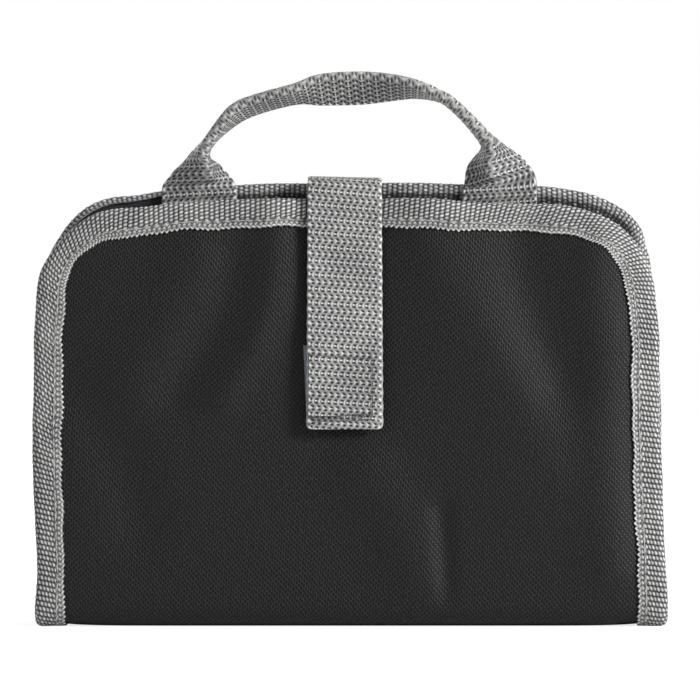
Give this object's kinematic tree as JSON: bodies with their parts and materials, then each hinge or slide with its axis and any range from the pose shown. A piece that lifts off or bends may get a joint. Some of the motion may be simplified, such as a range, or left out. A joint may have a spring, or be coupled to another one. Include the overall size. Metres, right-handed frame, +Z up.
{
  "type": "toiletry bag",
  "caption": "Flat fold-over toiletry bag in black cloth with grey binding, a webbing carry handle and a strap that closes over the top by hook and loop.",
  "frame": {"origin": "middle of the fold that the bag stands on, on the table", "axes": "+X along the bag's width, to the right seen from the front; +Y to the rear, -Y is the front cover with the strap's end; +Z up"},
  "size_m": [0.2526, 0.032, 0.2224],
  "materials": {
    "black_polyester": "matt plain-weave cloth",
    "black_lining": "smooth coated cloth",
    "foam_board": "matt foam",
    "grey_binding_tape": "ribbed tape",
    "grey_webbing": "coarse woven webbing",
    "grey_loop_tape": "napped loops",
    "grey_hook_tape": "fine hooks",
    "black_zip_tape": "narrow woven tape",
    "black_nylon": "satin",
    "black_enamel": "satin"
  },
  "bodies": {
    "base": {"spine_shell": "black_polyester", "spine_lining": "black_lining", "spine_binding_left": "grey_binding_tape", "spine_binding_right": "grey_binding_tape"},
    "front_cover": {"front_shell": "black_polyester", "front_stiffener": "foam_board", "front_lining": "black_lining", "front_binding": "grey_binding_tape", "front_pocket": "black_lining", "front_pocket_hem": "grey_binding_tape", "front_zip_pocket_tape": "black_zip_tape", "front_zip_lining_tape": "black_zip_tape", "front_zip_coils": "black_nylon", "front_zip_stops": "black_nylon", "loop_patch": "grey_loop_tape"},
    "rear_cover": {"rear_shell": "black_polyester", "rear_stiffener": "foam_board", "rear_lining": "black_lining", "rear_binding": "grey_binding_tape", "rear_pocket": "black_lining", "rear_pocket_hem": "grey_binding_tape", "rear_zip_pocket_tape": "black_zip_tape", "rear_zip_lining_tape": "black_zip_tape", "rear_zip_coils": "black_nylon", "rear_zip_stops": "black_nylon", "handle_tabs": "grey_webbing", "strap_anchor": "grey_webbing"},
    "strap_bridge": {"strap_top": "grey_webbing"},
    "strap_end": {"strap_flap": "grey_webbing", "hook_patch": "grey_hook_tape"},
    "handle": {"carry_handle": "grey_webbing"},
    "front_slider": {"front_zip_slider": "black_enamel"},
    "front_pull": {"front_zip_pull": "black_enamel"},
    "rear_slider": {"rear_zip_slider": "black_enamel"},
    "rear_pull": {"rear_zip_pull": "black_enamel"}
  },
  "joints": [
    {"name": "cover_fold", "type": "hinge", "parent": "base", "child": "front_cover", "pos_m": [0, -0.01428, 0.00172], "axis": [1, 0, 0], "range_deg": [0, 90], "deforming": ["strap_top", "strap_flap", "hook_patch"]},
    {"name": "rear_fold", "type": "hinge", "parent": "base", "child": "rear_cover", "pos_m": [0, 0.01428, 0.00172], "axis": [-1, 0, 0], "range_deg": [0, 90], "deforming": ["strap_top", "strap_flap", "hook_patch"]},
    {"name": "strap_lift", "type": "hinge", "parent": "rear_cover", "child": "strap_bridge", "pos_m": [-0.0017, 0.00764, 0.1779], "axis": [-1, 0, 0], "range_deg": [0, 120], "deforming": ["strap_top", "strap_flap", "hook_patch"]},
    {"name": "strap_peel", "type": "hinge", "parent": "strap_bridge", "child": "strap_end", "pos_m": [-0.0017, -0.00794, 0.1779], "axis": [-1, 0, 0], "range_deg": [0, 90], "deforming": ["strap_top", "strap_flap", "hook_patch"]},
    {"name": "handle_swing", "type": "hinge", "parent": "rear_cover", "child": "handle", "pos_m": [0, 0.00102, 0.178], "axis": [1, 0, 0], "range_deg": [-20, 80], "stiffness_Nm_per_rad": 0.02},
    {"name": "front_zip_travel", "type": "slide", "parent": "front_cover", "child": "front_slider", "axis": [-1, 0, 0], "range_m": [0, 0.1964]},
    {"name": "front_pull_turn", "type": "hinge", "parent": "front_slider", "child": "front_pull", "pos_m": [0.0982, -0.01029, 0.03643], "axis": [0, -0.9985, 0.0541], "range_deg": [-120, 120]},
    {"name": "rear_zip_travel", "type": "slide", "parent": "rear_cover", "child": "rear_slider", "axis": [-1, 0, 0], "range_m": [0, 0.1964]},
    {"name": "rear_pull_turn", "type": "hinge", "parent": "rear_slider", "child": "rear_pull", "pos_m": [0.0982, 0.00629, 0.11032], "axis": [0, 0.9985, 0.0541], "range_deg": [-120, 120]}
  ]
}
